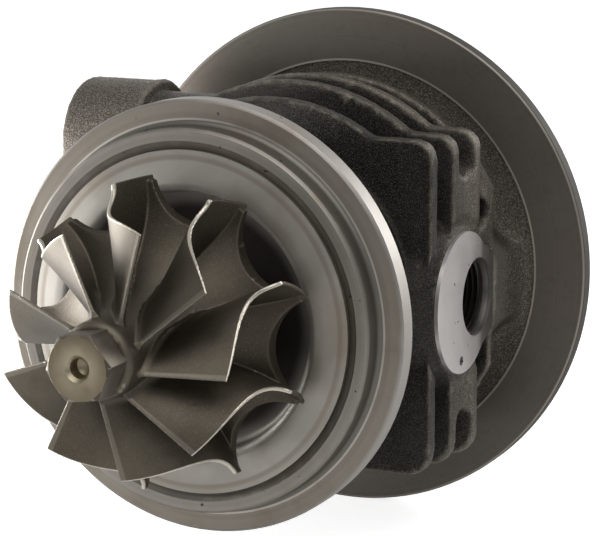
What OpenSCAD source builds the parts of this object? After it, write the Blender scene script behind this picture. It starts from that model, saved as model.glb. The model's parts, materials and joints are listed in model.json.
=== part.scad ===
// Turbo cartridge: the finned bearing housing of a medium diesel turbocharger, with its rotor.
// The shaft lies along Y. Y 0 is the front face of the turbine flange, the turbine wheel stands in
// front of it and the compressor wheel behind the large disc. The drain port faces +X and +Z is up.

/* [Turbine flange] */
// Diameter of the clamping flange at the turbine end
flange_d = 106.4; // [102:0.2:112]
// Thickness of that flange
flange_t = 6.3; // [5:0.1:8]
// Chamfer on the edges of the flange
flange_edge = 0.7; // [0.3:0.1:1.2]
// Diameter of the spigot that centres the turbine housing
spigot_d = 94; // [92:0.2:97]
// Height of the spigot in front of the flange
spigot_h = 6; // [5:0.1:7]
// Width of the flat lip on top of the spigot
lip_w = 3; // [2:0.1:3.6]
// Depth of the bevel inside the lip
lip_bevel = 1; // [0.5:0.1:1.6]
// Width of that bevel
lip_bevel_w = 2; // [1.6:0.1:3]

/* [Heat shield] */
// Sheet thickness of the heat shield
shield_t = 1.6; // [1:0.1:2]
// Width of its raised rim
shield_rim_w = 10.2; // [9:0.1:11]
// Height of its outer edge, which sits on a ledge of the housing
shield_edge_h = 2.6; // [2:0.1:3.4]
// How far its edge stands in front of the spigot lip
shield_proud = 0.3; // [0.1:0.1:0.8]
// Rise of its rim from the outer edge to the shoulder
shield_crown = 1.4; // [0.4:0.1:2]
// Depth of its dish behind the rim
shield_dish = 6.5; // [5.5:0.1:8]
// Radius of the rounded shoulder between rim and dish
shield_shoulder = 2.6; // [2.1:0.1:3]
// Diameter of its central hole
shield_hole_d = 24; // [22:0.2:28]

/* [Cast body] */
// Distance from the flange front to the disc front
body_l = 87.2; // [85:0.2:92]
// Diameter of the neck behind the flange
neck_d = 92; // [84:1:96]
// Diameter of the barrel between the fins
core_d = 76; // [72:1:82]
// Cast land on the disc front, from its step to the hollow of the neck
rear_land = 3.2; // [2:0.1:6]

/* [Fins] */
// Thickness of each fin
fin_t = 4; // [3:0.1:4.5]
// Distance from fin to fin
fin_pitch = 11.8; // [10.5:0.1:12.4]
// Middle of the first fin, behind the flange front
fin_1_y = 41; // [36:0.5:42]
// Diameter of the first fin
fin_1_d = 97; // [92:0.5:102]
// Diameter of the second fin
fin_2_d = 103.2; // [96:0.5:106]
// Diameter of the third fin
fin_3_d = 104; // [96:0.5:106]
// Diameter of the plain round fin before the disc
fin_4_d = 102; // [96:0.5:106]
// Flat side of the first fin, from the shaft axis
lobe_x = 43.5; // [42:0.1:44]
// How much further out the flat side of each next fin is
lobe_step = 1.1; // [0:0.1:1.2]
// Top edge of the square lobe on the fins, above the shaft axis
lobe_top = 40; // [36:0.5:42]
// Bottom edge of that lobe, below the shaft axis
lobe_bottom = 44; // [40:0.5:44.5]
// Corner radius at the top of the lobe
lobe_top_corner = 4; // [2:0.5:6]
// Corner radius at the bottom of the lobe
lobe_bottom_corner = 5.5; // [2:0.5:8]
// Radius that blends the round fin into the lobe
lobe_blend = 10; // [6:0.5:14]
// Top of the cast web between the second and third fins
web_top = 29; // [24:0.5:31]
// Bottom of that web, below the shaft axis
web_bottom = 31; // [28:0.5:33]
// Top of the cast web behind the third fin
rear_web_top = 26; // [24:0.5:28]
// Diameter of the slot in the web behind the third fin
rear_slot_d = 9; // [6:0.5:10]
// Height of that slot over the shaft axis
rear_slot_z = 19; // [17:0.5:20]

/* [Compressor disc] */
// Diameter of the compressor disc
disc_d = 135.5; // [130:0.5:142]
// Thickness of the disc
disc_t = 4.7; // [4:0.1:6]
// Chamfer on the edges of the disc
disc_edge = 0.5; // [0.2:0.1:1]
// Diameter at which the machined ring of the disc front begins
disc_step_d = 107.4; // [104:0.2:116]
// Depth of the cast face inside that ring
disc_step = 0.6; // [0.3:0.1:1]

/* [Drain port] */
// Machined drain face, from the shaft axis
port_x = 46.5; // [46.2:0.1:49]
// Middle of the drain face, behind the flange front
port_y = 56; // [54:0.5:57]
// Height of the drain face over the shaft axis
port_z = -2.6; // [-5:0.1:0]
// Diameter of the machined drain face
port_face_d = 36.4; // [34:0.2:38]
// Width of the cast skirt at the foot of the boss
skirt_w = 3.5; // [2:0.1:4]
// Height of that skirt
skirt_h = 5; // [3:0.1:6]
// Height of the machined face over the cast boss
port_face_h = 1; // [0.5:0.1:1.2]
// Core diameter of the drain thread
drain_d = 18.5; // [16:0.1:20]
// How far the drain hole lies behind the middle of its face
drain_offset = 8.6; // [7:0.1:9]
// Wall of the boss around the drain hole
drain_wall = 4.5; // [3.5:0.1:6]
// Land between the drain hole and the hollow that runs into the disc
saddle_land = 2; // [1.2:0.1:3]
// Radius of that hollow
saddle_r = 16.8; // [16:0.1:20]
// Width of the top of the saddle behind the drain
saddle_top_w = 20.5; // [16:0.5:24]
// Height of its sloped sides
saddle_side = 8; // [6:0.5:10]
// Depth of the drain thread
drain_depth = 15; // [12:0.1:16]
// Diameter of the cast passage from the drain to the chamber
passage_d = 15.5; // [12:0.1:15.8]
// Width of the chamfer at the mouth of the drain
drain_chamfer = 0.9; // [0.4:0.1:1.4]
// Diameter of the dimple drilled in the drain face
dimple_d = 2.4; // [1.5:0.1:3]
// Depth of that dimple
dimple_depth = 2; // [1:0.1:3]

/* [Oil inlet] */
// Outer face of the inlet boss, from the shaft axis
inlet_x = 62; // [58:0.5:65]
// Inlet boss, behind the flange front
inlet_y = 57; // [55:0.5:59]
// Inlet boss, over the shaft axis
inlet_z = 33; // [31:0.5:35]
// Diameter of the inlet boss
inlet_boss_d = 33; // [30:0.5:36]
// Length of the wide part of the inlet boss
inlet_boss_l = 21; // [18:0.5:23]
// Diameter of the stalk that joins the boss to the barrel
inlet_stalk_d = 26; // [22:0.5:28]
// Core diameter of the inlet thread
inlet_d = 10.5; // [9:0.1:12.5]
// Depth of the inlet thread
inlet_depth = 16; // [12:0.5:18]
// Diameter of the oil gallery behind the thread
gallery_d = 6; // [5:0.1:8]
// Diameter of the drillings from the gallery to the bushes
oil_drill_d = 3.5; // [2.5:0.1:4]

/* [Bearings] */
// Diameter of the shaft's journals
journal_d = 11; // [10:0.1:12]
// Outer diameter of the floating bushes
bush_d = 17; // [16:0.1:18]
// Length of each bush
bush_l = 12; // [10:0.5:13]
// Front of the turbine bush, behind the flange front
bush_front_y = 23; // [23:0.1:24]
// Distance between the two bushes, front to front
bush_span = 32; // [30:0.1:35]
// Number of oil holes in each bush
oil_holes = 6; // [4:1:8]
// Diameter of those holes
oil_hole_d = 2.5; // [1.5:0.1:3]
// Width of the circlips that hold the bushes
circlip_w = 1.1; // [0.9:0.1:1.2]
// Height of the circlips, across the wire
circlip_h = 1.6; // [1.4:0.1:1.8]
// Wall of the tube that carries the bushes
tube_wall = 4.5; // [4:0.1:5.5]
// Diameter of the drain chamber around that tube
chamber_d = 56; // [50:0.5:58]
// Wall in front of the drain chamber
chamber_wall = 8.5; // [8:0.1:9]

/* [Thrust end] */
// Diameter of the thrust bearing plate
thrust_d = 48; // [46:0.5:50]
// Thickness of that plate
thrust_t = 4; // [3.5:0.1:5]
// Diameter of the thrust washer and of the thrust collar
runner_d = 21; // [20.4:0.1:21.4]
// Thickness of the washer and of the collar's flange
runner_t = 3; // [2.6:0.1:3.2]
// Outer diameter of the collar's sleeve inside the plate
collar_d = 13; // [12:0.1:14]
// Number of screws that hold the plate
thrust_screw_n = 3; // [2:1:4]
// Thread diameter of those screws
thrust_screw_d = 4; // [3:0.5:5]
// Thickness of the oil deflector
deflector_t = 0.8; // [0.6:0.1:1.2]
// Depth of the pocket for the seal plate, from the back of the disc
pocket_depth = 11.4; // [11:0.1:12]
// Diameter of the seal plate
seal_plate_d = 66; // [64:0.5:70]
// Thickness of the seal plate at its rim
seal_plate_t = 9; // [8.6:0.1:9.2]
// Thickness of the seal plate's web
seal_web_t = 3.5; // [3:0.1:4]
// Cross-section of the rubber ring on the seal plate
o_ring_w = 2.4; // [2:0.1:3]
// Width of the snap ring behind the seal plate
snap_ring_w = 1.5; // [1.2:0.1:1.6]
// Height of that snap ring
snap_ring_h = 4; // [3:0.1:5]

/* [Turbine wheel] */
// Diameter over the blades where the gas enters
turbine_d = 74.4; // [71:0.2:76]
// Diameter over the blades where the gas leaves
exducer_d = 59; // [54:0.2:62]
// Number of turbine blades
turbine_blades = 9; // [8:1:11]
// Back of the wheel, in front of the flange front
wheel_back = 13.5; // [12.5:0.1:16]
// Length of the blades along the shaft
turbine_blade_l = 29.9; // [27:0.1:32]
// Length of the straight blade ends where the gas enters
inducer_l = 10.4; // [8:0.1:12]
// Thickness of the blades at their tips
blade_t = 1; // [0.8:0.1:1.6]
// Thickness of the back disc at its edge
back_disc_t = 2.3; // [1.8:0.1:3]
// Radius of each scallop between the blades
scallop_r = 13; // [10:0.1:13.2]
// Distance of the scallops' middles from the shaft axis
scallop_at = 40; // [39.5:0.1:42]
// Diameter of the hub at the blades' outlet
hub_d = 18.6; // [17.4:0.1:21]
// Length of the hub past the blades
hub_l = 7.6; // [6:0.1:9]
// Width across the flats of the nose
nose_af = 14.7; // [13:0.1:15]
// Length of the nose
nose_l = 7.6; // [6:0.1:9]
// Diameter of the centre hole in the nose
centre_d = 4.6; // [3:0.1:6]
// Depth of the centre hole
centre_depth = 4; // [2:0.1:6]

/* [Shaft] */
// Diameter of the seal land behind the wheel
land_d = 18; // [17:0.1:18.4]
// Width of the seal rings
seal_ring_w = 1.6; // [1.2:0.1:2]
// Height of the seal rings
seal_ring_h = 2; // [1.6:0.1:2.4]
// Diameter of the stub that carries the compressor wheel
stub_d = 7.5; // [6.5:0.1:8]
// Length of thread that stands out of the lock nut
stub_end_l = 2.5; // [1:0.1:4]

/* [Compressor wheel] */
// Outer diameter of the compressor wheel
compressor_d = 80; // [76:0.5:86]
// Diameter over the blades where the air enters
inducer_d = 57; // [52:0.5:62]
// Length of the compressor wheel along the shaft
compressor_l = 29; // [26:0.1:32]
// Number of full blades, each with a splitter after it
compressor_blades = 6; // [5:1:7]
// Height of the blades at the outer edge
outlet_h = 4.4; // [3.5:0.1:6]
// Thickness of the wheel's back at its edge
compressor_rim_t = 2; // [1.6:0.1:3]
// Diameter of the wheel's nose
compressor_nose_d = 19; // [17:0.1:22]
// Gap between the wheel and the disc
compressor_gap = 1.3; // [1:0.1:2]
// Width across the flats of the lock nut
nut_af = 12; // [11:0.1:14]
// Height of the lock nut
nut_h = 6.5; // [5:0.1:8]

/* [Clearances] */
// Radial gap between the journals and the bushes
journal_gap = 0.03; // [0.02:0.01:0.06]
// Radial gap between the bushes and their bore
bush_gap = 0.05; // [0.03:0.01:0.08]
// Radial gap between the seal lands and their bores
land_gap = 0.3; // [0.3:0.05:0.6]
// Gap at the sides of rings, circlips and bushes
side_gap = 0.1; // [0.06:0.01:0.15]
// Gap on each side of the thrust plate
thrust_gap = 0.06; // [0.04:0.01:0.1]
// Radial gap between pieces that are pushed together
push_gap = 0.02; // [0.01:0.01:0.04]
// Radial gap around the heat shield and the thrust plate
seat_gap = 0.1; // [0.05:0.01:0.2]

/* [Hidden] */
$fn = 96;
cut = 1;

// Colours
cast_iron = [0.22, 0.21, 0.2];
shield_grey = [0.68, 0.67, 0.64];
wheel_brown = [0.34, 0.31, 0.28];
ground_steel = [0.7, 0.7, 0.72];
spring_steel = [0.45, 0.46, 0.5];
bronze = [0.72, 0.53, 0.3];
rubber = [0.1, 0.1, 0.1];
plate_steel = [0.55, 0.55, 0.56];
cast_aluminium = [0.8, 0.81, 0.82];

// Housing, along the shaft
flange_r = flange_d / 2;
spigot_r = spigot_d / 2;
lip_y = -spigot_h;
disc_rear_y = body_l + disc_t;
rear_neck_r = disc_step_d / 2 - rear_land;
rear_hollow_r = rear_neck_r - core_d / 2;
fin_front_y = fin_1_y - fin_t / 2;
fin_ds = [fin_1_d, fin_2_d, fin_3_d, fin_4_d];
lobed_fins = 3;
spigot_fillet = 1.5;
web_inset = 0.3;
lobe_sink = 0.4;
dimple_inset = 3.3;
dimple_angle = 83;

// Heat shield and the pocket it sits in
shield_pocket_r = spigot_r - lip_w - lip_bevel_w;
shield_r = shield_pocket_r - seat_gap;
shield_front_y = lip_y - shield_proud;
shield_ledge_y = shield_front_y + shield_edge_h;
shield_ledge_w = 2.5;
shield_edge_w = 2;
shield_floor_y = shield_front_y - shield_crown + shield_dish;
shield_back_y = shield_floor_y + shield_t;
shield_fillet = 2;
air_gap = 5;
nose_y = shield_back_y;
nose_lap = 2.5;
nose_r = shield_hole_d / 2 + nose_lap;
front_wall_y = nose_y + air_gap;

// Bearing bores and drain chamber
bore_r = bush_d / 2 + bush_gap;
tube_r = bore_r + tube_wall;
chamber_r = chamber_d / 2;
chamber_y = front_wall_y + chamber_wall;
chamber_side = -6;
slinger_gap = 4;
slinger_room = 3;
tube_y = chamber_y + slinger_gap;
slinger_r = land_d / 2 + slinger_room;
bush_ys = [bush_front_y, bush_front_y + bush_span];
circlip_out_r = bore_r + circlip_h / 2;
groove_r = circlip_out_r + seat_gap;
relief_depth = 1;
relief_land = 1;
relief_r = bore_r + relief_depth;
circlip_room = circlip_w + 3 * side_gap;
ring_split = 12;

// Thrust end
pocket_y = disc_rear_y - pocket_depth;
thrust_y = pocket_y - thrust_t;
pocket_r = seal_plate_d / 2 + push_gap;
thrust_r = thrust_d / 2;
runner_r = runner_d / 2;
washer_y = thrust_y - thrust_gap - runner_t;
washer_room = 0.5;
washer_room_r = runner_r + land_gap;
washer_room_y = washer_y - washer_room;
collar_y = thrust_y - thrust_gap;
collar_flange_y = pocket_y + thrust_gap;
flinger_y = collar_flange_y + runner_t;
compressor_back_y = disc_rear_y + compressor_gap;
compressor_boss_h = 0.6;
flinger_end_y = compressor_back_y - compressor_boss_h;
flinger_flange_t = 1.4;
flinger_step = 1;
flinger_flange_r = runner_r + flinger_step;
thrust_circle_shift = 0.5;
thrust_circle_r = (tube_r + thrust_r) / 2 + thrust_circle_shift;
thrust_flat_x = tube_r + 2;
screw_spread = 110;
screw_head_h = 2;
screw_l = 11;
pin_d = 3;
pin_l = 9;
blind_room = 0.5;
pin_angle = 32;
deflector_lap = 1.5;
deflector_room = 0.5;
deflector_r = thrust_r + deflector_lap;
deflector_hole_r = flinger_flange_r + deflector_room;
tongue_x = thrust_flat_x + 1;
deflector_grip = 3;
seal_rear_y = pocket_y + seal_plate_t;
seal_web_y = seal_rear_y - seal_web_t;
seal_hub_wall = 5;
seal_hub_inset = 0.4;
seal_hub_chamfer = 1;
seal_hub_r = land_d / 2 + seal_hub_wall;
seal_hub_y = disc_rear_y - seal_hub_inset;
seal_bore_r = land_d / 2 + land_gap;
o_ring_y = pocket_y + seal_plate_t / 2;
o_ring_side = 0.4;
o_ring_squeeze = 0.1;
o_ring_groove_w = o_ring_w + o_ring_side;
o_ring_room = o_ring_w - o_ring_squeeze;
snap_ring_bite = 1.4;

// Turbine wheel
turbine_r = turbine_d / 2;
exducer_r = exducer_d / 2;
wheel_back_y = -wheel_back;
blade_back_gap = 0.4;
blade_back_y = wheel_back_y - blade_back_gap;
inducer_y = blade_back_y - inducer_l;
exducer_y = wheel_back_y - turbine_blade_l;
disc_rim_inset = 1.2;
disc_rim_r = turbine_r - disc_rim_inset;
disc_front_y = wheel_back_y - back_disc_t;
hub_r = hub_d / 2;
hub_exit_l = 4;
hub_taper = 0.4;
hub_chamfer = 1;
hub_exit_y = exducer_y - hub_exit_l;
hub_end_y = exducer_y - hub_l;
nose_end_y = hub_end_y - nose_l;
blade_root_depth = 2;
blade_root_r = hub_r - blade_root_depth;
blade_root_t = 2.2;
turbine_phase = 97.6;
nose_phase = 7.4;
nose_chamfer = 1;
boss_step = 3;
boss_r = land_d / 2 + boss_step;
weld_gap = 2;
weld_y = shield_floor_y - weld_gap;
inlet_taper = 0.2;
// Turn of the blades round the shaft, in degrees: linear, square and cubic parts
turn_1 = 36.5;
turn_2 = -26.7;
turn_3 = -33.5;

// Shaft
land_short = 1;
land_end_y = chamber_y - land_short;
turbine_ring_y = (nose_y + chamber_y) / 2;
compressor_ring_y = (seal_web_y + seal_hub_y) / 2;
waist_step = 1;
waist_d = journal_d - waist_step;
shoulder_y = washer_y;
stub_r = stub_d / 2;
fit_r = stub_r + push_gap;
stub_chamfer = 0.6;

// Compressor wheel
compressor_r = compressor_d / 2;
compressor_rim_y = compressor_back_y + compressor_rim_t;
compressor_end_y = compressor_back_y + compressor_l;
compressor_nose_l = 3;
compressor_blade_y = compressor_end_y - compressor_nose_l;
compressor_chamfer = 0.5;
compressor_flare = 2;
compressor_hub_r = compressor_nose_d / 2;
compressor_blade_t = 0.9;
compressor_wrap = 62;
splitter_start = 0.38;
nut_y = compressor_end_y;
nut_end_y = nut_y + nut_h;
stub_end_y = nut_end_y + stub_end_l;

// A profile of (radius, place along the shaft), turned about the shaft
module turned(angle = 360) {
    rotate([-90, 0, 0])
        rotate_extrude(angle = angle)
            children();
}

// A round bar along the shaft
module bar(r, y0, y1) {
    translate([0, y0, 0])
        rotate([-90, 0, 0])
            cylinder(r = r, h = y1 - y0);
}

// A round tube along the shaft
module tube(r_out, r_in, y0, y1) {
    difference() {
        bar(r_out, y0, y1);
        bar(r_in, y0 - cut, y1 + cut);
    }
}

// A round bar along X
module cross_bar(r, x0, x1, y, z) {
    translate([x0, y, z])
        rotate([0, 90, 0])
            cylinder(r = r, h = x1 - x0);
}

// Places children at an angle round the shaft, counted from +X towards +Z
module at_angle(a) {
    rotate([0, -a, 0])
        children();
}

// A drilled hole from point a to point b
module drilling(a, b, d) {
    v = b - a;
    translate(a)
        rotate([0, acos(v.z / norm(v)), atan2(v.y, v.x)])
            cylinder(d = d, h = norm(v));
}

// A ring split by a gap, as a snap ring or a seal ring is
module split_ring(r_out, r_in, y0, w, gap_angle) {
    at_angle(gap_angle)
        turned(360 - ring_split)
            translate([r_in, y0])
                square([r_out - r_in, w]);
}

// Points of an arc in a plane
function arc(c, r, a0, a1, steps) =
    [for (i = [0 : steps]) c + r * [cos(a0 + (a1 - a0) * i / steps), sin(a0 + (a1 - a0) * i / steps)]];

// A point at a radius, a place along the shaft and an angle round it, moved sideways
function polar(r, y, a, side) = [r * cos(a) - side * sin(a), y, r * sin(a) + side * cos(a)];

// Skin over a row of four-cornered rings
module skin(rings) {
    last = len(rings) - 1;
    sides = [for (i = [0 : last - 1], j = [0 : 3])
        each [[4 * i + j, 4 * i + (j + 1) % 4, 4 * i + 4 + j],
            [4 * i + (j + 1) % 4, 4 * i + 4 + (j + 1) % 4, 4 * i + 4 + j]]];
    ends = [[2, 1, 0], [3, 2, 0], [4 * last, 4 * last + 1, 4 * last + 2],
        [4 * last, 4 * last + 2, 4 * last + 3]];
    polyhedron(points = [for (ring = rings) each ring], faces = concat(sides, ends));
}

// Flange, spigot, necks, barrel and disc as one turned blank
module housing_blank() {
    turned()
        polygon(concat(
            [[0, lip_y], [spigot_r - flange_edge, lip_y], [spigot_r, lip_y + flange_edge]],
            arc([spigot_r + spigot_fillet, -spigot_fillet], spigot_fillet, 180, 90, 5),
            [[flange_r - flange_edge, 0], [flange_r, flange_edge], [flange_r, flange_t - flange_edge],
                [flange_r - flange_edge, flange_t], [neck_d / 2, flange_t],
                [core_d / 2, fin_front_y]],
            arc([rear_neck_r, body_l + disc_step - rear_hollow_r], rear_hollow_r, 180, 90, 8),
            [[disc_step_d / 2, body_l + disc_step], [disc_step_d / 2, body_l],
                [disc_d / 2 - disc_edge, body_l],
                [disc_d / 2, body_l + disc_edge], [disc_d / 2, disc_rear_y - disc_edge],
                [disc_d / 2 - disc_edge, disc_rear_y], [0, disc_rear_y]]));
}

// Square lobe on the drain side of a fin, blended into the round of the fin
function lobe_outline(r, x) =
    let (q = lobe_blend,
        seat = r - lobe_sink,
        top_c = [sqrt(pow(seat + q, 2) - pow(lobe_top + q, 2)), lobe_top + q],
        low_c = [sqrt(pow(seat + q, 2) - pow(lobe_bottom + q, 2)), -lobe_bottom - q],
        top_a = atan2(top_c.y, top_c.x),
        low_a = atan2(low_c.y, low_c.x),
        rt = lobe_top_corner,
        rb = lobe_bottom_corner)
    concat([[0, 0]], arc(top_c, q, 180 + top_a, 270, 6),
        arc([x - rt, lobe_top - rt], rt, 90, 0, 6),
        arc([x - rb, -lobe_bottom + rb], rb, 0, -90, 6),
        arc(low_c, q, 90, 180 + low_a, 6));

// Front of a fin, and how far out its flat side is
function fin_y(i) = fin_1_y + i * fin_pitch - fin_t / 2;
function fin_flat(i) = lobe_x + min(i, lobed_fins - 1) * lobe_step;

// Round cooling fin with a flat side towards the drain
module round_fin(i) {
    r = fin_ds[i] / 2;
    y = fin_y(i);
    intersection() {
        bar(r, y, y + fin_t);
        translate([-2 * r, y - cut, -2 * r])
            cube([2 * r + fin_flat(i), fin_t + 2 * cut, 4 * r]);
    }
}

// Square lobe that widens the flat side of a fin
module fin_lobe(i) {
    r = fin_ds[i] / 2;
    x = fin_flat(i);
    y = fin_y(i);
    translate([0, y + fin_t, 0])
        rotate([90, 0, 0])
            linear_extrude(fin_t)
                polygon(lobe_outline(r, x));
}

// Cast web that joins the second and third fins above and below the drain, with arched ends
module fin_web() {
    gap = fin_pitch - fin_t;
    y = fin_y(1) + fin_t / 2;
    low_x = core_d / 4;
    difference() {
        translate([0, 0, -web_bottom - gap / 2])
            linear_extrude(web_top + web_bottom + gap)
                polygon([[low_x, y], [fin_flat(1) - web_inset, y],
                    [fin_flat(2) - web_inset, y + fin_pitch], [low_x, y + fin_pitch]]);
        for (z = [web_top + gap / 2, -web_bottom - gap / 2])
            cross_bar(gap / 2, 0, port_x, y + fin_pitch / 2, z);
    }
}

// Cast web from the third fin to the round one above the drain, with the slot left by the core
module rear_web() {
    y = fin_y(2) + fin_t / 2;
    low_x = core_d / 4;
    difference() {
        intersection() {
            bar(fin_ds[3] / 2 - lobe_sink, y, y + fin_pitch);
            translate([low_x, y, port_z])
                cube([fin_flat(2) - web_inset - low_x, fin_pitch, rear_web_top - port_z]);
        }
        cross_bar(rear_slot_d / 2, low_x, port_x, y + fin_t / 2 + rear_slot_d / 4, rear_slot_z);
    }
}

// Round boss with a machined face on a sloped skirt
module drain_boss() {
    foot_x = port_x - port_face_h - skirt_h;
    foot_r = port_face_d / 2 + skirt_w;
    cross_bar(foot_r, core_d / 4, foot_x, port_y, port_z);
    translate([foot_x, port_y, port_z])
        rotate([0, 90, 0])
            cylinder(r1 = foot_r, r2 = port_face_d / 2, h = skirt_h);
    cross_bar(port_face_d / 2, core_d / 4, port_x, port_y, port_z);
}

// Cast saddle round the drain hole, with sloped sides and a hollow that runs into the disc
module drain_saddle() {
    low_x = core_d / 4;
    hole_y = port_y + drain_offset;
    hollow_y = hole_y + drain_d / 2 + saddle_land;
    end_y = body_l + disc_step;
    wall_r = drain_d / 2 + drain_wall;
    top_w = saddle_top_w / 2;
    foot_w = top_w + saddle_side;
    side_x = port_x - saddle_side;
    far_x = disc_step_d / 2;
    turn = asin((end_y - hollow_y) / saddle_r);
    cross_bar(wall_r, low_x, port_x, hole_y, port_z);
    intersection() {
        translate([0, 0, port_z - foot_w])
            linear_extrude(2 * foot_w)
                polygon(concat([[low_x, hole_y], [port_x, hole_y]],
                    arc([port_x + saddle_r, hollow_y], saddle_r, 180, 180 - turn, 8),
                    [[port_x + saddle_r * (1 - cos(turn)), end_y + cut], [low_x, end_y + cut]]));
        translate([0, end_y + cut, port_z])
            rotate([90, 0, 0])
                linear_extrude(end_y + cut - hole_y)
                    polygon([[low_x, -foot_w], [side_x, -foot_w], [port_x, -top_w], [far_x, -top_w],
                        [far_x, top_w], [port_x, top_w], [side_x, foot_w], [low_x, foot_w]]);
    }
}

module inlet_boss() {
    cross_bar(inlet_boss_d / 2, -inlet_x, -inlet_x + inlet_boss_l, inlet_y, inlet_z);
    cross_bar(inlet_stalk_d / 2, -inlet_x + inlet_boss_l / 2, -core_d / 4, inlet_y, inlet_z);
}

// Room for the heat shield, with its ledge, and the hollow in front of the nose
module shield_pocket() {
    difference() {
        turned()
            polygon([[0, lip_y - cut], [spigot_r - lip_w, lip_y - cut], [spigot_r - lip_w, lip_y],
                [shield_pocket_r, lip_y + lip_bevel], [shield_pocket_r, shield_ledge_y],
                [shield_r - shield_ledge_w, shield_ledge_y], [shield_r - shield_ledge_w, front_wall_y],
                [0, front_wall_y]]);
        bar(nose_r, nose_y, front_wall_y + cut);
    }
}

// Chamber that catches the oil from the bushes, open towards the drain
module drain_chamber() {
    difference() {
        intersection() {
            bar(chamber_r, chamber_y, thrust_y);
            translate([chamber_side, chamber_y - cut, -chamber_r])
                cube([2 * chamber_r, thrust_y - chamber_y + 2 * cut, 2 * chamber_r]);
        }
        bar(tube_r, tube_y, thrust_y + cut);
    }
    bar(slinger_r, chamber_y, tube_y);
}

// Bores for the seal land, the bushes and their circlips, and the thrust washer
module bearing_bores() {
    bar(land_d / 2 + land_gap, nose_y - cut, chamber_y + cut);
    bar(bore_r, chamber_y, thrust_y);
    bar(relief_r, bush_ys[0] + bush_l + circlip_room + relief_land, bush_ys[1] - circlip_room - relief_land);
    bar(washer_room_r, washer_room_y, thrust_y + cut);
    for (y = bush_ys) {
        bar(groove_r, y - circlip_room + side_gap / 2, y - side_gap / 2);
        bar(groove_r, y + bush_l + side_gap / 2, y + bush_l + circlip_room - side_gap / 2);
    }
}

// Recess for the thrust plate, pocket for the seal plate and groove for its snap ring
module thrust_pocket() {
    bar(thrust_r + seat_gap, thrust_y, pocket_y + cut);
    bar(pocket_r, pocket_y, disc_rear_y + cut);
    bar(pocket_r + snap_ring_bite, seal_rear_y, seal_rear_y + snap_ring_w + side_gap);
    for (a = screw_angles())
        at_angle(a)
            translate([thrust_circle_r, 0, 0])
                bar(thrust_screw_d / 2 + push_gap, pocket_y - screw_l - blind_room, thrust_y + cut);
    for (a = pin_angles())
        at_angle(a)
            translate([thrust_circle_r, 0, 0])
                bar(pin_d / 2 + push_gap, pocket_y - pin_l - blind_room, thrust_y + cut);
}

function screw_angles() =
    [for (i = [0 : thrust_screw_n - 1]) 180 + screw_spread * (i / (thrust_screw_n - 1) - 0.5)];

function pin_angles() = [180 - pin_angle, 180 + pin_angle];

module drain_port() {
    y = port_y + drain_offset;
    cross_bar(drain_d / 2, port_x - drain_depth, port_x + cut, y, port_z);
    cross_bar(passage_d / 2, chamber_r / 2, port_x, y, port_z);
    translate([port_x - drain_chamfer, y, port_z])
        rotate([0, 90, 0])
            cylinder(r1 = drain_d / 2, r2 = drain_d / 2 + 2 * drain_chamfer, h = 2 * drain_chamfer);
    dimple_r = port_face_d / 2 - dimple_inset;
    dimple_y = port_y - dimple_r * cos(dimple_angle);
    dimple_z = port_z - dimple_r * sin(dimple_angle);
    cross_bar(dimple_d / 2, port_x - dimple_depth, port_x + cut, dimple_y, dimple_z);
}

module oil_feed() {
    end_x = -core_d / 3;
    cross_bar(inlet_d / 2, -inlet_x - cut, -inlet_x + inlet_depth, inlet_y, inlet_z);
    cross_bar(gallery_d / 2, -inlet_x, end_x, inlet_y, inlet_z);
    for (y = bush_ys)
        drilling([end_x - gallery_d / 2, inlet_y, inlet_z], [0, y + bush_l / 2, 0], oil_drill_d);
}

module bearing_housing() {
    color(cast_iron)
        difference() {
            union() {
                housing_blank();
                for (i = [0 : lobed_fins])
                    round_fin(i);
                for (i = [0 : lobed_fins - 1])
                    fin_lobe(i);
                fin_web();
                rear_web();
                drain_boss();
                drain_saddle();
                inlet_boss();
            }
            shield_pocket();
            drain_chamber();
            bearing_bores();
            thrust_pocket();
            drain_port();
            oil_feed();
        }
}

// Pressed dish: raised rim with a rounded shoulder, straight wall and flat floor
module heat_shield() {
    wall_r = shield_r - shield_rim_w;
    q = shield_shoulder;
    shoulder = [wall_r + q, shield_front_y - shield_crown + q];
    f = shield_fillet;
    root = [wall_r - f, shield_floor_y - f];
    color(shield_grey)
        turned()
            polygon(concat(
                [[shield_r, shield_ledge_y], [shield_r, shield_front_y]],
                arc(shoulder, q, 270, 180, 6),
                arc(root, f, 0, 90, 5),
                [[shield_hole_d / 2, shield_floor_y], [shield_hole_d / 2, shield_back_y]],
                arc(root, f + shield_t, 90, 0, 5),
                arc(shoulder, q - shield_t, 180, 270, 4),
                [[shield_r - shield_edge_w, shield_front_y + shield_t / 2],
                    [shield_r - shield_edge_w, shield_ledge_y]]));
}

// Turn of a turbine blade round the shaft, over u from its back (0) to its outlet (1)
function turbine_turn(u) = turbine_phase + turn_1 * u + turn_2 * u * u + turn_3 * u * u * u;

// How much the blade's slope widens its cut across the shaft, at a radius
function turbine_slope(u, r) =
    let (turn = (turn_1 + 2 * turn_2 * u + 3 * turn_3 * u * u) * PI / 180 / (blade_back_y - exducer_y))
    sqrt(1 + pow(r * turn, 2));

// Outer edge of a turbine blade as (radius, place): straight inlet, then a quarter round to the outlet
function turbine_edge() = concat(
    [for (i = [0 : 2]) [turbine_r - inlet_taper * i / 3, blade_back_y - inducer_l * i / 3]],
    [for (a = [90 : -10 : 0])
        [exducer_r + (turbine_r - exducer_r - inlet_taper) * (1 - cos(a)),
            exducer_y + (inducer_y - exducer_y) * sin(a)]]);

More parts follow.
